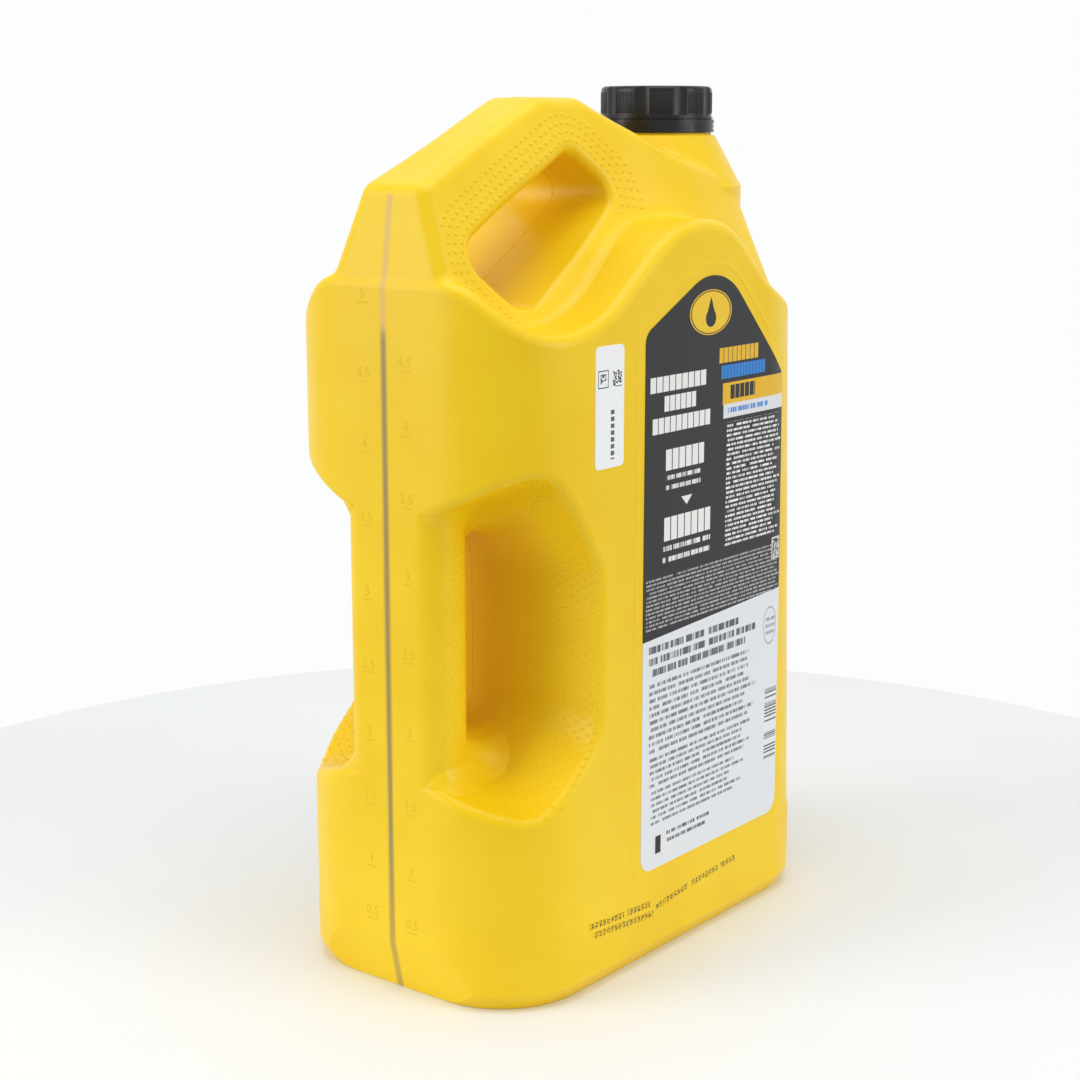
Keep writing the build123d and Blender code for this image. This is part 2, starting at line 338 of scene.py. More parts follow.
def rows(ink, x0, x1, z0, z1, pitch, fill, word, ragged, letter=0.75):
    """Grey rows where the real label has lines of small print: bars cut into words, with fainter strokes.

    pitch is from row to row, and fill is the part of it that is printed. word and letter are widths. A row
    ends at most ragged before x1.
    """
    up = ink.divided(ink.minus(ink.z, z0), pitch)
    row = ink.math("FLOOR", up)
    band = ink.math("COMPARE", ink.fraction(up), 0.5, fill / 2)
    # The seed and the shift make the words of each row start and end at places of their own
    seed = ink.times(row, 7.37)
    chance = ink.add("ShaderNodeTexWhiteNoise", None, row, noise_dimensions="1D").outputs[0]
    drift = ink.noise(1.0, 0.0, ink.vector(ink.divided(ink.x, word * 1.4), seed, 0.0))
    shift = ink.plus(ink.times(chance, 5.3), ink.times(drift, 1.6))
    words = ink.less(ink.fraction(ink.plus(ink.divided(ink.x, word), shift)), 0.85)
    strokes = ink.noise(1.0, 0.0, ink.vector(ink.divided(ink.x, letter), seed, 3.0))
    letters = ink.ramp(strokes, 0.36, 0.54, 0.35, 1.0)
    short = ink.less(ink.x, ink.minus(x1, ink.times(chance, ragged)))
    return ink.both(band, words, letters, short, ink.box(x0, x1, z0, z1))


def blocks(ink, x0, x1, z0, z1, letter):
    """A line of large print, as plain blocks one letter wide with small gaps."""
    gap = 0.13
    letters = ink.more(ink.fraction(ink.divided(ink.minus(ink.x, x0), letter)), gap)
    return ink.both(letters, ink.box(x0, x1, z0, z1))


def printed_label():
    """The label's film: a charcoal part over a pale one, with plain fields and rows for the print."""
    charcoal = colour(28, 28, 30)
    pale = colour(228, 231, 236)
    gold = colour(232, 184, 34)
    blue = colour(36, 130, 214)
    white = colour(238, 238, 236)
    panel = colour(226, 228, 230)
    ink = Finish("printed label film", charcoal, 0.34, **{"Specular IOR Level": 0.3})
    edge = ink.plus(121.0, ink.times(ink.x, 0.045))
    ink.lay(pale, ink.less(ink.z, edge))

    # An oval field with a thin ring and a plain drop
    oval = ink.oval(10.9, 232.1, 13.3, 8.0)
    ink.lay(gold, ink.less(oval, 1.0))
    ink.lay(charcoal, ink.both(ink.less(oval, 0.9), ink.more(oval, 0.82)))
    ink.lay(colour(242, 200, 40), ink.less(oval, 0.82))
    tip = ink.times(ink.minus(237.6, ink.z), 0.42)
    cone = ink.both(ink.less(ink.off(ink.x, 10.9), tip), ink.box(7.0, 15.0, 230.6, 237.6))
    round_end = ink.less(ink.oval(10.9, 230.0, 3.3, 3.1), 1.0)
    ink.lay(charcoal, ink.math("MAXIMUM", cone, round_end))

    # Right column: lines of blocks, two plain fields, small print, and a square of random grains
    ink.lay(gold, blocks(ink, 16.5, 42.5, 213.4, 218.8, 2.9))
    ink.lay(blue, blocks(ink, 18.0, 47.5, 207.6, 212.4, 2.1))
    ink.lay(gold, ink.box(19.4, 75.0, 198.3, 206.0))
    ink.lay(charcoal, blocks(ink, 24.0, 41.0, 199.9, 205.0, 3.2))
    ink.lay(panel, ink.box(20.0, 75.0, 193.2, 198.3))
    ink.lay(blue, rows(ink, 23.0, 50.0, 194.6, 197.2, 2.6, 0.7, 6.0, 0.0))
    ink.lay(white, rows(ink, 22.5, 60.5, 145.6, 191.6, 1.75, 0.52, 5.5, 7.0, 0.7))
    ink.lay(colour(214, 214, 212), ink.box(55.0, 61.0, 135.5, 144.0))
    ink.lay(charcoal, ink.both(ink.box(55.6, 60.4, 136.2, 143.3), ink.more(ink.noise(900.0, 0.0), 0.5)))

    # Left column: lines of blocks, small print, and a wedge that points down
    for line in ((-26.2, 8.4, 206.8, 212.2, 3.85), (-17.6, 2.2, 199.8, 205.2, 3.35),
                 (-24.6, 11.4, 192.4, 197.9, 3.6), (-16.4, 7.8, 179.0, 186.4, 4.1),
                 (-17.0, 12.5, 154.0, 162.4, 4.25)):
        ink.lay(white, blocks(ink, *line))
    ink.lay(white, rows(ink, -15.7, 7.0, 171.2, 178.2, 3.5, 0.45, 4.0, 2.0, 0.6))
    ink.lay(white, rows(ink, -17.3, 12.8, 145.3, 153.3, 4.0, 0.45, 4.5, 1.0, 0.6))
    half_wide = ink.times(ink.divided(ink.minus(ink.z, 165.4), 3.2), 3.4)
    wedge = ink.less(ink.off(ink.x, -2.7), half_wide)
    ink.lay(white, ink.both(wedge, ink.within(ink.z, 165.4, 168.6)))

    # Small print across the foot of the charcoal part
    ink.lay(colour(178, 178, 178), rows(ink, -27.0, 61.0, 123.0, 141.5, 1.45, 0.5, 4.0, 3.0, 0.5))

    # Pale part: a larger print, three paragraphs, an empty ring, random bars, and a box with two rows
    dark = colour(86, 89, 96)
    faint = colour(120, 123, 130)
    ring_grey = colour(150, 152, 158)
    ink.lay(dark, rows(ink, -24.8, 47.0, 105.6, 118.2, 4.2, 0.62, 7.5, 16.0, 1.0))
    for lines in ((-24.4, 45.5, 77.6, 104.3, 2.67, 0.5, 6.0, 9.0, 0.8),
                  (-23.6, 43.0, 64.9, 76.9, 2.4, 0.5, 6.0, 8.0, 0.8),
                  (-22.6, 38.0, 50.6, 64.4, 2.3, 0.48, 5.0, 12.0, 0.7)):
        ink.lay(faint, rows(ink, *lines))
    ring = ink.oval(55.0, 110.0, 4.6, 7.4)
    ink.lay(ring_grey, ink.both(ink.less(ring, 1.0), ink.more(ring, 0.86)))
    ink.lay(ring_grey, rows(ink, 52.0, 58.5, 106.0, 114.0, 2.6, 0.5, 2.0, 0.0, 0.6))
    ink.lay(colour(232, 233, 235), ink.box(51.6, 62.0, 56.0, 86.0))
    bars = ink.more(ink.noise(1.6, 0.0, ink.vector(0.0, 0.0, ink.z)), 0.5)
    ink.lay(dark, ink.both(ink.box(52.6, 61.0, 57.0, 85.0), bars))
    ink.lay(panel, ink.box(-21.0, -14.8, 38.4, 47.8))
    ink.lay(charcoal, ink.box(-19.6, -16.2, 39.8, 46.4))
    ink.lay(dark, rows(ink, -12.8, 16.0, 41.6, 47.4, 2.9, 0.46, 4.0, 6.0, 0.7))

    ink.wear_roughness(80.0, 0.3, 0.38)
    ink.relief(ink.noise(500.0), 0.02, 0.2)
    return ink.done()


def sticker_paper():
    """White paper with a small frame, two squares of random grains, and a column of plain blocks."""
    grey = colour(84, 86, 90)
    ink = Finish("white sticker paper", colour(244, 246, 247), 0.5)
    ink.mottle(colour(242, 245, 246), colour(247, 248, 249), ink.noise(90.0))
    ink.lay(grey, ink.minus(ink.box(-55.6, -49.8, 211.5, 217.5), ink.box(-55.2, -50.2, 211.9, 217.1)))
    ink.lay(grey, ink.both(ink.box(-54.3, -51.1, 212.8, 216.2), ink.more(ink.noise(700.0, 0.0), 0.5)))
    ink.lay(colour(40, 42, 44), ink.both(ink.box(-47.4, -42.4, 211.5, 217.0),
                                         ink.more(ink.noise(1100.0, 0.0), 0.5)))
    block, inked = 2.3, 0.66
    steps = ink.less(ink.fraction(ink.divided(ink.z, block)), inked)
    ink.lay(grey, ink.both(steps, ink.box(-48.4, -46.4, 187.3, 204.5)))
    ink.relief(ink.noise(1500.0, 3.0), 0.02, 0.3)
    return ink.done()


def scale_plastic_painted_shade():
    """The raised marks of the volume scale: the jug's plastic, a little duller, and darker as painted shade
    of their relief.
    """
    # Painted shade: the base and mottle colours are a darker yellow than the jug's
    ink = Finish("raised scale plastic", colour(236, 196, 12), 0.42, **{"Specular IOR Level": 0.3})
    ink.mottle(colour(230, 189, 10), colour(238, 199, 16), ink.noise(40.0))
    ink.wear_roughness(60.0, 0.38, 0.46)
    return ink.done()


def floor_paint():
    """The pale matt floor of the studio."""
    ink = Finish("pale floor", colour(240, 243, 244), 0.6)
    ink.mottle(colour(238, 241, 242), colour(243, 245, 246), ink.noise(8.0))
    return ink.done()


yellow = jug_plastic()
black = cap_plastic()
printed = printed_label()
finishes = {"jug": yellow, "cap": black, "tamper_band": black, "cap_liner": liner_foam(), "oil": oil_fill(),
            "back_label": printed, "front_label": printed, "stock_sticker": sticker_paper()}
for name, material in finishes.items():
    nodes[name].data.materials.clear()
    nodes[name].data.materials.append(material)

# The floor is a disc, in metres, with its top 0.1 mm under the jug
bpy.ops.mesh.primitive_cylinder_add(vertices=256, radius=0.365, depth=0.01, location=(0, 0, -0.0051))
turntable = bpy.context.object
turntable.name = "turntable"
turntable.data.materials.append(floor_paint())


# What the added pieces share

jug_surface = BVHTree.FromObject(nodes["jug"], bpy.context.evaluated_depsgraph_get())


def on_face(x, z):
    """The point of the jug's outside behind (x, z) of the back face, and its outward direction."""
    place, normal, _, _ = jug_surface.ray_cast(Vector((x * MM, -0.1, z * MM)), Vector((0, 1, 0)))
    return place, normal


def around(corners, softs, grow, step):
    """Places and outward directions every step along a rounded polygon that is grown by a margin."""
    count, arc = len(corners), 12
    area = sum(corners[i - 1][0] * corners[i][1] - corners[i][0] * corners[i - 1][1] for i in range(count))
    if area < 0:
        corners, softs = corners[::-1], softs[::-1]
    fine = []
    for i in range(count):
        before, corner, after = (Vector(corners[(i + k) % count]) for k in (-1, 0, 1))
        way_in, way_out = (corner - before).normalized(), (after - corner).normalized()
        turn = way_in.angle(way_out)
        reach = softs[i] * math.tan(turn / 2)
        out_in = Vector((way_in.y, -way_in.x))
        centre = corner - way_in * reach - out_in * softs[i]
        for k in range(arc + 1):
            angle = math.atan2(out_in.y, out_in.x) + turn * k / arc
            out = Vector((math.cos(angle), math.sin(angle)))
            fine.append((centre + out * (softs[i] + grow), out))
    fine.append(fine[0])
    places, carry = [], 0.0
    for (start, out), (end, out_end) in zip(fine, fine[1:]):
        length = (end - start).length
        while carry <= length and length:
            share = carry / length
            places.append((start.lerp(end, share), out.lerp(out_end, share).normalized()))
            carry += step
        carry -= length
    return places


def piece(name, mesh, body, material):
    """Adds a mesh to the scene as a piece that moves with a body of the frame."""
    obj = bpy.data.objects.new(name, mesh)
    bpy.context.scene.collection.objects.link(obj)
    if not mesh.materials:
        mesh.materials.append(material)
    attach(obj, body)
    return obj


def as_mesh(bm, name, smooth=True):
    """The finished mesh, smooth or flat shaded."""
    mesh = bpy.data.meshes.new(name)
    bm.to_mesh(mesh)
    bm.free()
    for polygon in mesh.polygons:
        polygon.use_smooth = smooth
    return mesh


def closed_mesh(bm, name, smooth=True):
    """A mesh with its doubled corners joined and its faces turned outward."""
    bmesh.ops.remove_doubles(bm, verts=bm.verts, dist=1e-7)
    bmesh.ops.recalc_face_normals(bm, faces=bm.faces)
    return as_mesh(bm, name, smooth)


def new_tree(name, *inputs):
    """A tree that ends in Realize Instances and Set Material. Returns it, its inputs and its open end."""
    tree = bpy.data.node_groups.new(name, "GeometryNodeTree")
    for label, kind in inputs:
        tree.interface.new_socket(label, in_out="INPUT", socket_type="NodeSocket" + kind)
    tree.interface.new_socket("Mesh", in_out="OUTPUT", socket_type="NodeSocketGeometry")
    source = tree.nodes.new("NodeGroupInput")
    result = tree.nodes.new("NodeGroupOutput")
    real = tree.nodes.new("GeometryNodeRealizeInstances")
    paint = tree.nodes.new("GeometryNodeSetMaterial")
    tree.links.new(real.outputs[0], paint.inputs["Geometry"])
    tree.links.new(source.outputs["Material"], paint.inputs["Material"])
    tree.links.new(paint.outputs[0], result.inputs["Mesh"])
    return tree, source.outputs, real.inputs[0]


def tree_mesh(cloud, tree, **values):
    """The plain mesh that a tree makes from a cloud of points."""
    carrier = bpy.data.objects.new(cloud.name, cloud)
    bpy.context.scene.collection.objects.link(carrier)
    modifier = carrier.modifiers.new(tree.name, "NODES")
    modifier.node_group = tree
    sockets = {item.name: item.identifier for item in tree.interface.items_tree}
    for label, value in values.items():
        modifier[sockets[label]] = value
    carrier.update_tag()
    mesh = bpy.data.meshes.new_from_object(carrier.evaluated_get(bpy.context.evaluated_depsgraph_get()))
    carrier.modifiers.clear()
    bpy.data.objects.remove(carrier)
    return mesh


def stud_tree():
    """Sets one small stud on each point of a cloud, turned by the point's stored directions."""
    tree, source, end = new_tree("studs on points", ("Points", "Geometry"), ("Stud", "Object"),
                                 ("Material", "Material"))

    def stored(name):
        node = tree.nodes.new("GeometryNodeInputNamedAttribute")
        node.data_type = "FLOAT_VECTOR"
        node.inputs["Name"].default_value = name
        return node.outputs["Attribute"]

    turn = tree.nodes.new("FunctionNodeAxesToRotation")
    turn.primary_axis = "Z"
    turn.secondary_axis = "X"
    tree.links.new(stored("out"), turn.inputs[0])
    tree.links.new(stored("along"), turn.inputs[1])
    info = tree.nodes.new("GeometryNodeObjectInfo")
    tree.links.new(source["Stud"], info.inputs["Object"])
    place = tree.nodes.new("GeometryNodeInstanceOnPoints")
    tree.links.new(source["Points"], place.inputs["Points"])
    tree.links.new(info.outputs["Geometry"], place.inputs["Instance"])
    tree.links.new(turn.outputs[0], place.inputs["Rotation"])
    tree.links.new(stored("size"), place.inputs["Scale"])
    tree.links.new(place.outputs[0], end)
    return tree


studs_on_points = stud_tree()


def studs(name, points, stud, body, material):
    """One piece from many studs. Each point is its place, outward direction, direction along and size."""
    cloud = bpy.data.meshes.new(name + " points")
    cloud.from_pydata([p[0] for p in points], [], [])
    for k, key in ((1, "out"), (2, "along"), (3, "size")):
        data = cloud.attributes.new(key, "FLOAT_VECTOR", "POINT").data
        for entry, point in zip(data, points):
            entry.vector = point[k]
    model = bpy.data.objects.new(name + " stud", stud)
    bpy.context.scene.collection.objects.link(model)
    mesh = tree_mesh(cloud, studs_on_points, Stud=model, Material=material)
    bpy.data.objects.remove(model)
    for polygon in mesh.polygons:
        polygon.use_smooth = True
    return piece(name, mesh, body, material)


# Grip texture: staggered studs round the top hole, in the side hollow and on the grip's sides

def dome():
    """A low round stud of radius 1 and height 1, open below."""
    sides = 8
    turns = [2 * math.pi * k / sides for k in range(sides)]
    bm = bmesh.new()
    rings = []
    for radius, height in ((1.0, -0.4), (0.9, 0.35), (0.55, 0.85)):
        rings.append([bm.verts.new((radius * math.cos(turn), radius * math.sin(turn), height))
                      for turn in turns])
    for low, high in zip(rings, rings[1:]):
        for k in range(sides):
            bm.faces.new((low[k - 1], low[k], high[k], high[k - 1]))
    bm.faces.new(rings[-1])
    return closed_mesh(bm, "dome")


def grip_points():
    """The studs of the jug's -Y half. A stud's size is (along, across, high)."""
    points = []

    def press(x, z, size, least, outermost):
        """One stud on the broad side, where the face looks out enough and lies in enough."""
        place, out = on_face(x, z)
        if place is None or -out.y < least or -place.y > outermost * MM:
            return
        along = Vector((1, 0, 0))
        along = (along - out * along.dot(out)).normalized()
        points.append((place, out, along, Vector(size) * MM))

    # Four rows round the top hole, long studs under it and round ones over it
    for row, grow in enumerate((5.0, 7.8, 10.6, 13.4)):
        for place, out in around(TOP_HOLE, (TOP_HOLE_SOFT,) * 6, grow + 0.05 * row, 3.1):
            lower = out.x * 0.4 - out.y > 0.45
            press(place.x, place.y, (1.1, 0.55, 0.28) if lower else (0.85, 0.7, 0.3), 0.86, 41.0)

    # Rows one behind the other on the hollow's wall, found by rays from inside its outline; metres
    stations = around(SIDE_HOLE, (SIDE_HOLE_SOFT,) * 6, 0.0, 1.6)
    set_back, longest_ray = 0.012, 0.045
    for row in range(7):
        level = -54.5 + 2.7 * row
        for place, out in stations[row % 2::2]:
            if place.x < -80.0:
                continue
            ray = Vector((out.x, 0, out.y))
            start = Vector((place.x, level, place.y)) * MM - ray * set_back
            hit, normal, _, reach = jug_surface.ray_cast(start, ray)
            if hit is None or reach > longest_ray or not 0.02 <= abs(normal.y) <= 0.93:
                continue
            along = normal.cross(Vector((0, 0, 1)))
            if along.length > 0.1:
                points.append((hit, normal, along.normalized(), Vector((1.0, 0.52, 0.3)) * MM))

    # Small studs on the grip's side
    for row, column in itertools.product(range(30), range(6)):
        x = -94.0 + 2.9 * column + 1.45 * (row % 2)
        if x < -79.0:
            press(x, 86.0 + 2.6 * row, (0.8, 0.42, 0.18), 0.9, 23.0)
    return points


def both_faces(points):
    """The points, and their mirror images on the other broad face."""
    flip = Matrix.Diagonal((1, -1, 1))
    return points + [(flip @ place, flip @ out, flip @ along, size) for place, out, along, size in points]


studs("grip_texture", both_faces(grip_points()), dome(), "jug", yellow)


# Panel edge: a low soft ridge that frames each label

def panel_edge():
    """The ridge, on both broad faces, where the face is flat enough to have a label panel."""
    profile = ((3.2, -0.03), (3.8, 0.17), (4.3, 0.185), (4.8, 0.17), (5.5, -0.03))
    margin, step, longest_face = 6.0, 2.0, 0.006
    stations = around(LABEL, LABEL_SOFTS, margin, step)
    bm = bmesh.new()
    for side in (1, -1):
        lines = []
        for station, out in stations:
            line = []
            for grow, height in profile:
                spot = station + out * (grow - margin)
                place, normal = on_face(spot.x, spot.y)
                flat = place is not None and -normal.y > 0.93 and -place.y > 0.053
                if flat and spot.y > 35.0 and spot.x < 52.0:
                    place = place + normal * height * MM
                    line.append(bm.verts.new((place.x, side * place.y, place.z)))
                else:
                    line.append(None)
            lines.append(line)
        for here, there in zip(lines, lines[1:] + lines[:1]):
            for k in range(len(profile) - 1):
                corners = (here[k], here[k + 1], there[k + 1], there[k])
                if all(corners) and (corners[0].co - corners[3].co).length < longest_face:
                    bm.faces.new(corners if side > 0 else corners[::-1])
    bmesh.ops.delete(bm, geom=[v for v in bm.verts if not v.link_faces], context="VERTS")
    bm.normal_update()
    turned = [f for f in bm.faces if f.normal.y * f.calc_center_median().y < 0]
    bmesh.ops.reverse_faces(bm, faces=turned)
    return as_mesh(bm, "panel_edge")


piece("panel_edge", panel_edge(), "jug", yellow)


# Grip fillets: the soft corners where the side handle meets the hollow's roof and floor

BALL = 10.0 * MM
CELL = 1.25 * MM


def ball_centres():
    """Where a ball that touches the jug can lie in the side hollow and round it, in metres.

    It tries each cell of a grid from low_corner on, over the jug's -Y half and a little past the middle.
    """
    low_corner, cells = (-0.1085, -0.067, 0.049), (58, 54, 124)
    centres = []
    for cell in itertools.product(*map(range, cells)):
        spot = Vector([low + k * CELL for low, k in zip(low_corner, cell)])
        near, normal, _, reach = jug_surface.find_nearest(spot, BALL + 1.8 * CELL)
        if near is None or reach < BALL or (spot - near).dot(normal) < 0:
            continue
        if jug_surface.ray_cast(spot, Vector((0, -1, 0)))[0] is None:
            centres.append(near + (spot - near) * (BALL / reach))
    return centres + [Vector((c.x, -c.y, c.z)) for c in centres if c.y > -0.02]


def ball_skin_tree():
    """The skin round a cloud of equal balls, as one mesh."""
    tree, source, end = new_tree("skin of balls", ("Points", "Geometry"), ("Radius", "Float"),
                                 ("Voxel", "Float"), ("Material", "Material"))
    cloud = tree.nodes.new("GeometryNodeMeshToPoints")
    fog = tree.nodes.new("GeometryNodePointsToVolume")
    fog.resolution_mode = "VOXEL_SIZE"
    skin = tree.nodes.new("GeometryNodeVolumeToMesh")
    skin.inputs["Threshold"].default_value = 0.5
    tree.links.new(source["Points"], cloud.inputs[0])
    tree.links.new(cloud.outputs[0], fog.inputs["Points"])
    tree.links.new(source["Radius"], fog.inputs["Radius"])
    tree.links.new(source["Voxel"], fog.inputs["Voxel Size"])
    tree.links.new(fog.outputs[0], skin.inputs["Volume"])
    tree.links.new(skin.outputs[0], end)
    return tree


def grown(verts, rings):
    """The verts, with so many rings of neighbours."""
    for _ in range(rings):
        verts = verts | {edge.other_vert(vert) for vert in verts for edge in vert.link_edges}
    return verts


def largest_groups(verts, least):
    """The joined groups of verts that have at least so many members."""
    left, kept = set(verts), set()
    for first in verts:
        if first not in left:
            continue
        group, heap = {first}, [first]
        left.discard(first)
        while heap:
            here = heap.pop()
            for edge in here.link_edges:
                there = edge.other_vert(here)
                if there in left:
                    left.discard(there)
                    group.add(there)
                    heap.append(there)
        if len(group) >= least:
            kept |= group
    return kept


def proud(vert):
    """How far a vert stands out of the jug, with the nearest place on the jug and its direction."""
    near, normal, _, reach = jug_surface.find_nearest(vert.co)
    return math.copysign(reach, (vert.co - near).dot(normal)), near, normal


def grip_fillets():
    """Rolls a ball along the inside of the side hollow, and keeps its skin where it bridges a corner."""
    cloud = bpy.data.meshes.new("ball centres")
    cloud.from_pydata(ball_centres(), [], [])
    # The skin comes out about half a voxel inside the balls, which are made larger for that
    skin = tree_mesh(cloud, ball_skin_tree(), Radius=BALL + 0.38 * MM, Voxel=0.8 * MM, Material=yellow)
    bm = bmesh.new()
    bm.from_mesh(skin)
    bpy.data.meshes.remove(skin)
    far = [vert for vert in bm.verts if jug_surface.find_nearest(vert.co, 8 * MM)[0] is None]
    bmesh.ops.delete(bm, geom=far, context="VERTS")
    for _ in range(16):
        bmesh.ops.smooth_vert(bm, verts=bm.verts, factor=0.5,
                              use_axis_x=True, use_axis_y=True, use_axis_z=True)

    # What stands out of the jug in the hollow is kept, with three rings of neighbours; metres
    zone = ((-0.0975, -0.048), (-0.0555, 0.004), (0.062, 0.187))
    core = set()
    for vert in bm.verts:
        inside = all(low < value < high for value, (low, high) in zip(vert.co, zone))
        if inside and proud(vert)[0] > 0.3 * MM:
            core.add(vert)
    core = grown(largest_groups(core, 60), 3)
    bmesh.ops.delete(bm, geom=[vert for vert in bm.verts if vert not in core], context="VERTS")

    # The rim is sunk into the jug, more where it stands less proud
    for vert in bm.verts:
        height, near, normal = proud(vert)
        sink = min(1.0, max(0.0, 1.0 - height / (0.6 * MM)))
        vert.co = near + (vert.co - near) * (1 - sink) - normal * 0.25 * MM * sink
    bmesh.ops.bisect_plane(bm, geom=bm.verts[:] + bm.edges[:] + bm.faces[:], plane_co=(0, 0.0004, 0),
                           plane_no=(0, 1, 0), clear_outer=True)

    # The faces look away from the jug
    bm.normal_update()
    inward = 0
    for face in bm.faces:
        middle = face.calc_center_median()
        near = jug_surface.find_nearest(middle)[0]
        inward += 1 if (near - middle).dot(face.normal) > 0 else -1
    if inward > 0:
        bmesh.ops.reverse_faces(bm, faces=bm.faces)

    # The other half is its mirror image
    half = bpy.data.meshes.new("half")
    bm.to_mesh(half)
    other = bmesh.new()
    other.from_mesh(half)
    bmesh.ops.scale(other, vec=(1, -1, 1), verts=other.verts)
    bmesh.ops.reverse_faces(other, faces=other.faces)
    other.to_mesh(half)
    other.free()
    bm.from_mesh(half)
    bpy.data.meshes.remove(half)
    return as_mesh(bm, "grip_fillets")


piece("grip_fillets", grip_fillets(), "jug", yellow)


# Parting line: a thin bead where the mould's halves met, over the crest and through both holes

def on_seam(middle):
    """Whether the bead runs here, in metres: not on the base, the view stripe, the cap end or the neck."""
    on_neck = abs(middle.x - NECK_X * MM) < 0.0235 and middle.z > 0.2925
    return -0.093 <= middle.x <= 0.0965 and 0.004 <= middle.z <= 0.3068 and not on_neck


def parting_line():
    """The bead follows the jug's section at y = 0, but not the inner wall, from where -Y is blocked."""
    bm = bmesh.new()
    bm.from_mesh(nodes["jug"].data)
    bmesh.ops.bisect_plane(bm, geom=bm.verts[:] + bm.edges[:] + bm.faces[:], plane_co=(0, 0, 0),
                           plane_no=(0, 1, 0), clear_outer=True)
    seam = []
    for edge in bm.edges:
        if any(abs(v.co.y) > 1e-6 for v in edge.verts) or not edge.link_faces:
            continue
        start, end = (v.co.copy() for v in edge.verts)
        middle = (start + end) / 2
        out = edge.link_faces[0].normal.copy()
        if on_seam(middle) and jug_surface.ray_cast(middle + out * 0.0001, Vector((0, -1, 0)))[0] is None:
            seam.append((start, end, out))
    bm.free()
    profile = ((-0.42, -0.05), (-0.2, 0.14), (0.2, 0.14), (0.42, -0.05))
    bead = bmesh.new()
    for start, end, out in seam:
        if (end - start).length < 1e-5:
            continue
        out = Vector((out.x, 0, out.z)).normalized()
        ends = []
        for place in (start, end):
            place.z = max(place.z, 0.0003)
            ends.append([bead.verts.new(place + Vector((0, y, 0)) * MM + out * height * MM)
                         for y, height in profile])
        for k in range(len(profile) - 1):
            face = bead.faces.new((ends[0][k], ends[0][k + 1], ends[1][k + 1], ends[1][k]))
            face.normal_update()
            if face.normal.dot(out) < 0:
                face.normal_flip()
    bmesh.ops.remove_doubles(bead, verts=bead.verts, dist=2e-5)
    return as_mesh(bead, "parting_line")


piece("parting_line", parting_line(), "jug", yellow)


# Volume scale: litres beside the stripe on one side and quarts on the other, at every half

LITRES = (23.6, 42.8, 66.6, 92.8, 120.0, 147.0, 173.0, 197.0, 218.5)
QUARTS = (24.6, 44.0, 66.8, 90.0, 114.0, 139.5, 165.0, 190.0, 214.0, 240.0)


def volume_marks():
    """Plain numbers on the narrow end, each over a short line. Half of their thickness is in the wall."""
    letter_height, half_relief, aside = 5.0 * MM, 0.00003, 9.2
    upright_on_end = Matrix(((0, 0, -1, 0), (-1, 0, 0, 0), (0, 1, 0, 0), (0, 0, 0, 1)))
    bm = bmesh.new()

    def write(words, y, z):
        text = bpy.data.curves.new("mark", "FONT")
        text.body = words
        text.size = letter_height
        text.extrude = half_relief
        text.bevel_depth = half_relief
        text.align_x = "CENTER"
        text.resolution_u = 2
        obj = bpy.data.objects.new("mark", text)
        bpy.context.scene.collection.objects.link(obj)
        obj.matrix_world = Matrix.Translation((-END_X * MM, y * MM, z * MM)) @ upright_on_end
        bpy.context.view_layer.update()
        mesh = bpy.data.meshes.new_from_object(obj.evaluated_get(bpy.context.evaluated_depsgraph_get()))
        mesh.transform(obj.matrix_world)
        bm.from_mesh(mesh)
        bpy.data.objects.remove(obj)
        bpy.data.meshes.remove(mesh)

    for side, levels in ((-1, LITRES), (1, QUARTS)):
        for step, level in enumerate(levels):
            volume = (step + 1) / 2
            write(f"{volume:g}", side * aside, level + 0.9)
            write("---", side * aside, level - 1.6)
    return closed_mesh(bm, "volume_marks", smooth=False)


piece("volume_marks", volume_marks(), "jug", scale_plastic_painted_shade())


# Neck: the threads of the neck and the cap, the neck's flange, and the web that the tamper band tears from

def round_neck(radius, angle, height):
    """A place round the neck's axis, in metres."""
    return (NECK_X + radius * math.cos(angle)) * MM, radius * math.sin(angle) * MM, height * MM


def thread(root, crest, low, high, pitch, foot, top):
    """A helical ridge on the neck's axis, which fades out at both ends. foot and top are half its widths."""
    turns = (high - low) / pitch
    steps = int(turns * 72)
    bm = bmesh.new()
    lines = []
    for k in range(steps + 1):
        angle = 2 * math.pi * turns * k / steps
        height = low + (high - low) * k / steps
        fade = min(1.0, 6.0 * k / steps, 6.0 * (steps - k) / steps)
        line = []
        for out, up in ((0.0, -foot), (1.0, -top), (1.0, top), (0.0, foot)):
            radius = root + (crest - root) * out * fade
            spread = up * (0.4 + 0.6 * fade)
            line.append(bm.verts.new(round_neck(radius, angle, height + spread)))
        lines.append(line)
    for here, there in zip(lines, lines[1:]):
        for k in range(4):
            bm.faces.new((here[k], here[(k + 1) % 4], there[(k + 1) % 4], there[k]))
    bm.faces.new(lines[0])
    bm.faces.new(lines[-1])
    return closed_mesh(bm, "thread")


def lathe(name, loop):
    """A ring round the neck's axis, from a closed loop of (radius, height)."""
    sides = 96
    bm = bmesh.new()
    lines = []
    for k in range(sides):
        angle = 2 * math.pi * k / sides
        lines.append([bm.verts.new(round_neck(radius, angle, height)) for radius, height in loop])
    for k in range(sides):
        here, there = lines[k - 1], lines[k]
        for m in range(len(loop)):
            bm.faces.new((here[m - 1], here[m], there[m], there[m - 1]))
    return closed_mesh(bm, name)


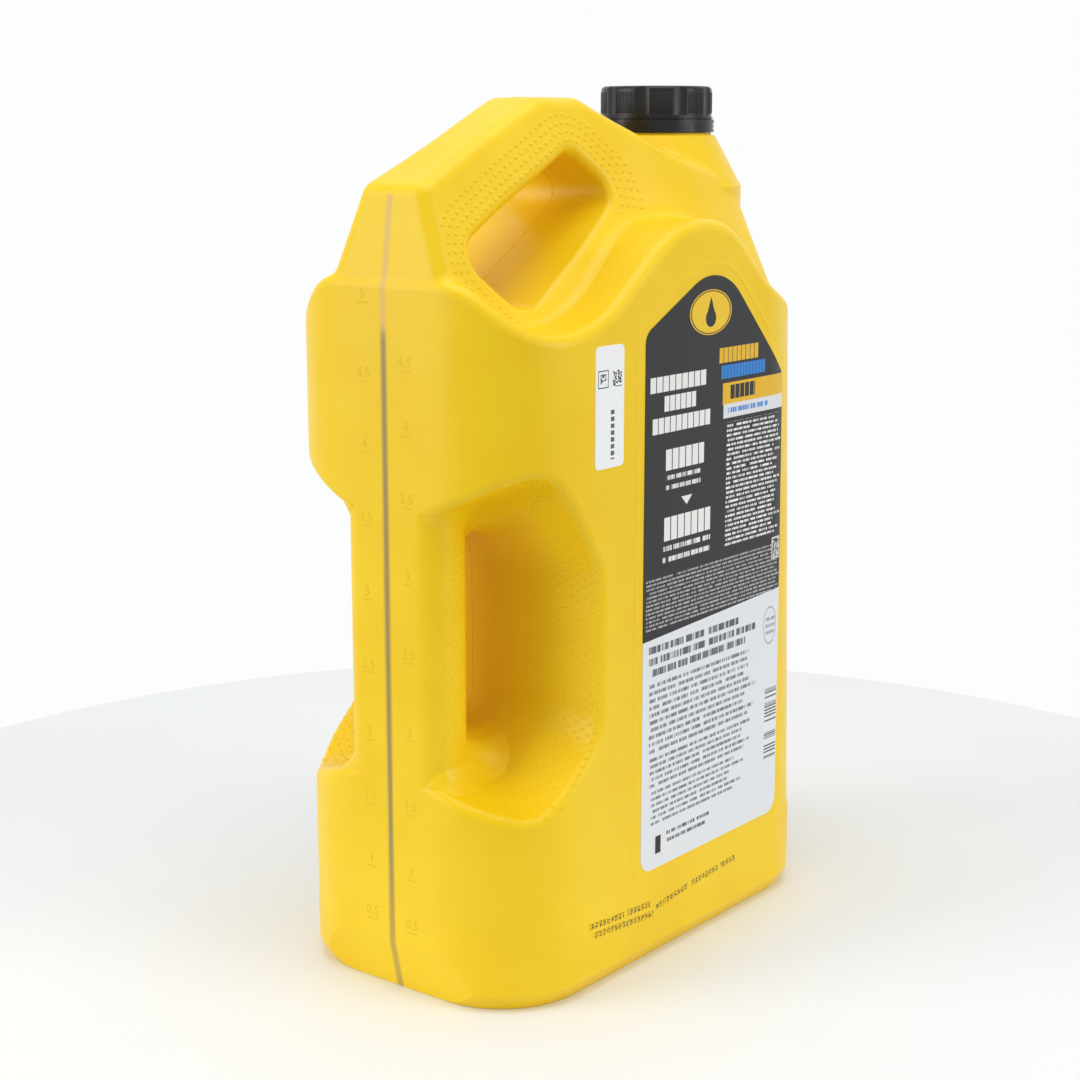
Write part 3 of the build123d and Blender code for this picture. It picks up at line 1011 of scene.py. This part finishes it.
piece("neck_thread", thread(17.55, 18.7, 301.0, 306.2, 4.23, 1.0, 0.35), "jug", yellow)
piece("cap_thread", thread(19.55, 18.2, 303.1, 308.0, 4.23, 0.7, 0.3), "cap", black)
neck_flange = ((18.0, 292.6), (20.7, 292.6), (20.9, 292.9), (20.9, 293.5), (20.6, 293.8), (18.0, 293.8))
piece("neck_flange", lathe("neck_flange", neck_flange), "jug", yellow)
tear_web = ((20.0, 298.6), (20.55, 298.6), (20.45, 298.9), (20.55, 299.15), (20.0, 299.15))
piece("tear_web", lathe("tear_web", tear_web), "jug", black)


# Cap: fine ribs on the panels between the nine flutes, and the bridges to the tamper band

def box_stud(wide, deep, high):
    """A rib with rounded shoulders: wide along X, deep along Z, high along Y."""
    outline = [(-wide, -deep), (-wide * 0.9, deep * 0.3), (-wide * 0.45, deep), (wide * 0.45, deep),
               (wide * 0.9, deep * 0.3), (wide, -deep)]
    bm = bmesh.new()
    ends = []
    for y, shrink in ((-high, 0.4), (-high * 0.93, 1.0), (high * 0.93, 1.0), (high, 0.4)):
        ends.append([bm.verts.new((x, y, z if z < 0 else z * shrink)) for x, z in outline])
    for low, top in zip(ends, ends[1:]):
        for k in range(5):
            bm.faces.new((low[k], low[k + 1], top[k + 1], top[k]))
    bm.faces.new(ends[0])
    bm.faces.new(ends[-1])
    return closed_mesh(bm, "rib")


def ring_of_ribs(radius, height, angles):
    """Points for studs round the neck's axis, at angles in degrees."""
    points = []
    for degrees in angles:
        angle = math.radians(degrees)
        out = Vector((math.cos(angle), math.sin(angle), 0))
        along = Vector((-math.sin(angle), math.cos(angle), 0))
        place = Vector((NECK_X, 0, height)) * MM + out * radius * MM
        points.append((place, out, along, Vector((MM, MM, MM))))
    return points


panel_ribs = ring_of_ribs(20.88, 304.7, [40 * flute + 9.4 + 21.2 * rib / 11
                                         for flute in range(9) for rib in range(12)])
studs("cap_ribs", panel_ribs, box_stud(0.24, 0.2, 3.9), "cap", black)
bridges = ring_of_ribs(20.6, 298.75, [20 * k + 10 for k in range(18)])
studs("tamper_bridges", bridges, box_stud(0.5, 0.45, 0.3), "jug", black)
